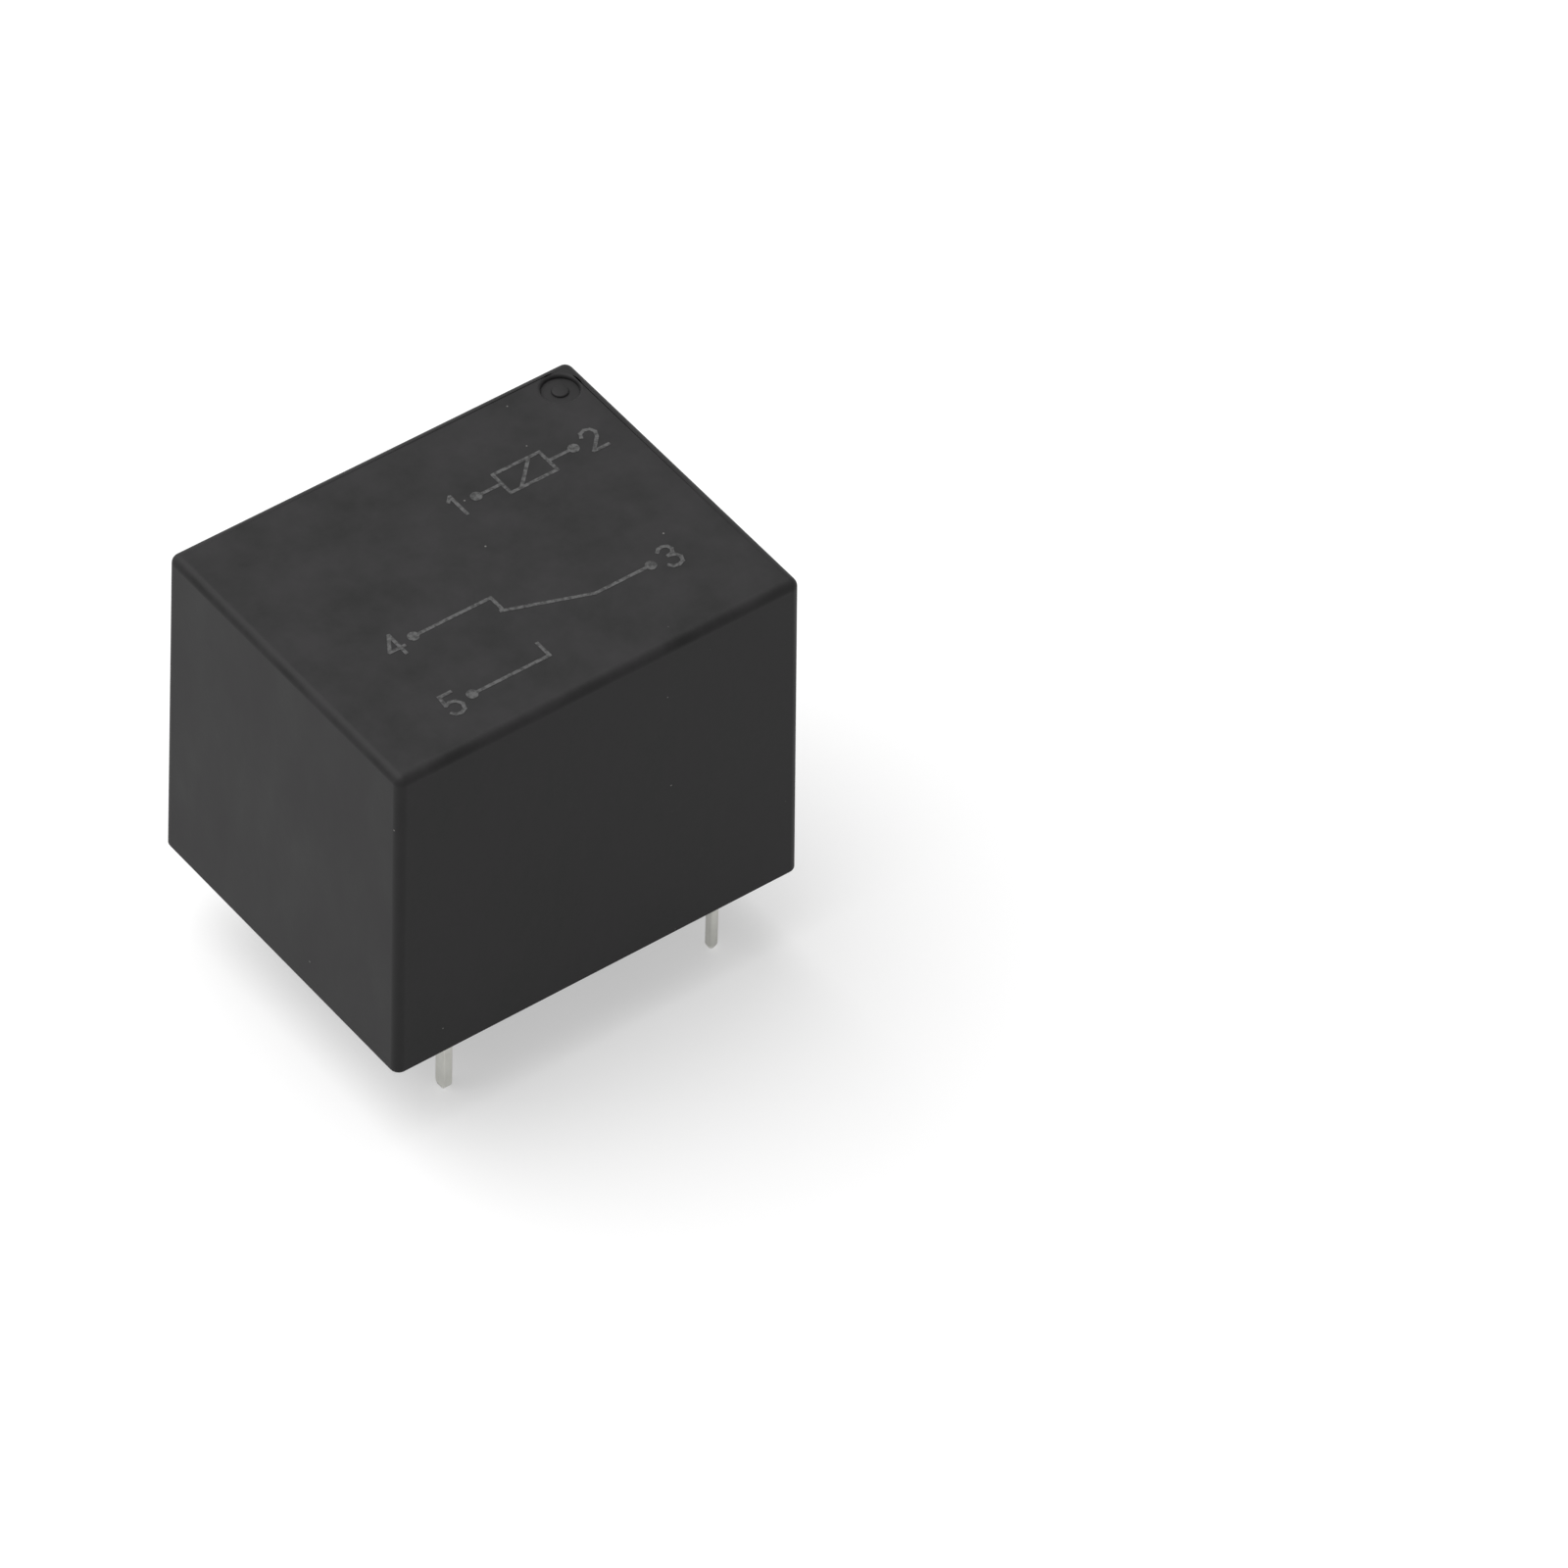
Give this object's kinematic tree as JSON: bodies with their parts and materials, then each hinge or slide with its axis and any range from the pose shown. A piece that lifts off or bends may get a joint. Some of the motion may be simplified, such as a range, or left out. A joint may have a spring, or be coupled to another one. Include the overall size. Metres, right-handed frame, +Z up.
{
  "type": "pcb power relay",
  "caption": "Sealed box-shaped relay for a circuit board: black case on solder pins, with a coil, a hinged armature and a changeover contact inside.",
  "frame": {"origin": "middle of the case's footprint, on the board's surface", "axes": "+X along the case towards the coil end, +Y across the case, +Z up from the board"},
  "size_m": [0.0192, 0.0154, 0.0196],
  "materials": {
    "case_plastic": "black moulded polyester, satin",
    "base_plastic": "black moulded polyester, matt",
    "sealing_resin": "black epoxy resin, semi-gloss",
    "bobbin_plastic": "natural moulded polyester",
    "winding_copper": "enamelled copper wire",
    "magnet_iron": "zinc plated soft iron",
    "rivet_steel": "plated steel",
    "tinned_terminal": "tinned copper alloy",
    "contact_silver": "silver alloy",
    "spring_bronze": "rolled copper alloy strip"
  },
  "bodies": {
    "frame": {"cover": "case_plastic", "base": "base_plastic", "sealing_resin": "sealing_resin", "bobbin": "bobbin_plastic", "coil_winding": "winding_copper", "coil_leads": "winding_copper", "core": "magnet_iron", "yoke": "magnet_iron", "yoke_rivets": "rivet_steel", "common_terminal": "tinned_terminal", "nc_terminal": "tinned_terminal", "nc_contact": "contact_silver", "no_terminal": "tinned_terminal", "no_contact": "contact_silver", "coil_pin_a": "tinned_terminal", "coil_pin_b": "tinned_terminal"},
    "armature": {"armature": "magnet_iron", "armature_rivets": "rivet_steel", "contact_spring": "spring_bronze", "moving_contact": "contact_silver"}
  },
  "joints": [
    {"name": "armature_hinge", "type": "hinge", "parent": "frame", "child": "armature", "pos_m": [0.00741, 0, 0.01087], "axis": [0, -1, 0], "range_deg": [0, 2.6], "stiffness_Nm_per_rad": 0.003, "springref_deg": -17.19, "deforming": ["contact_spring"]}
  ]
}
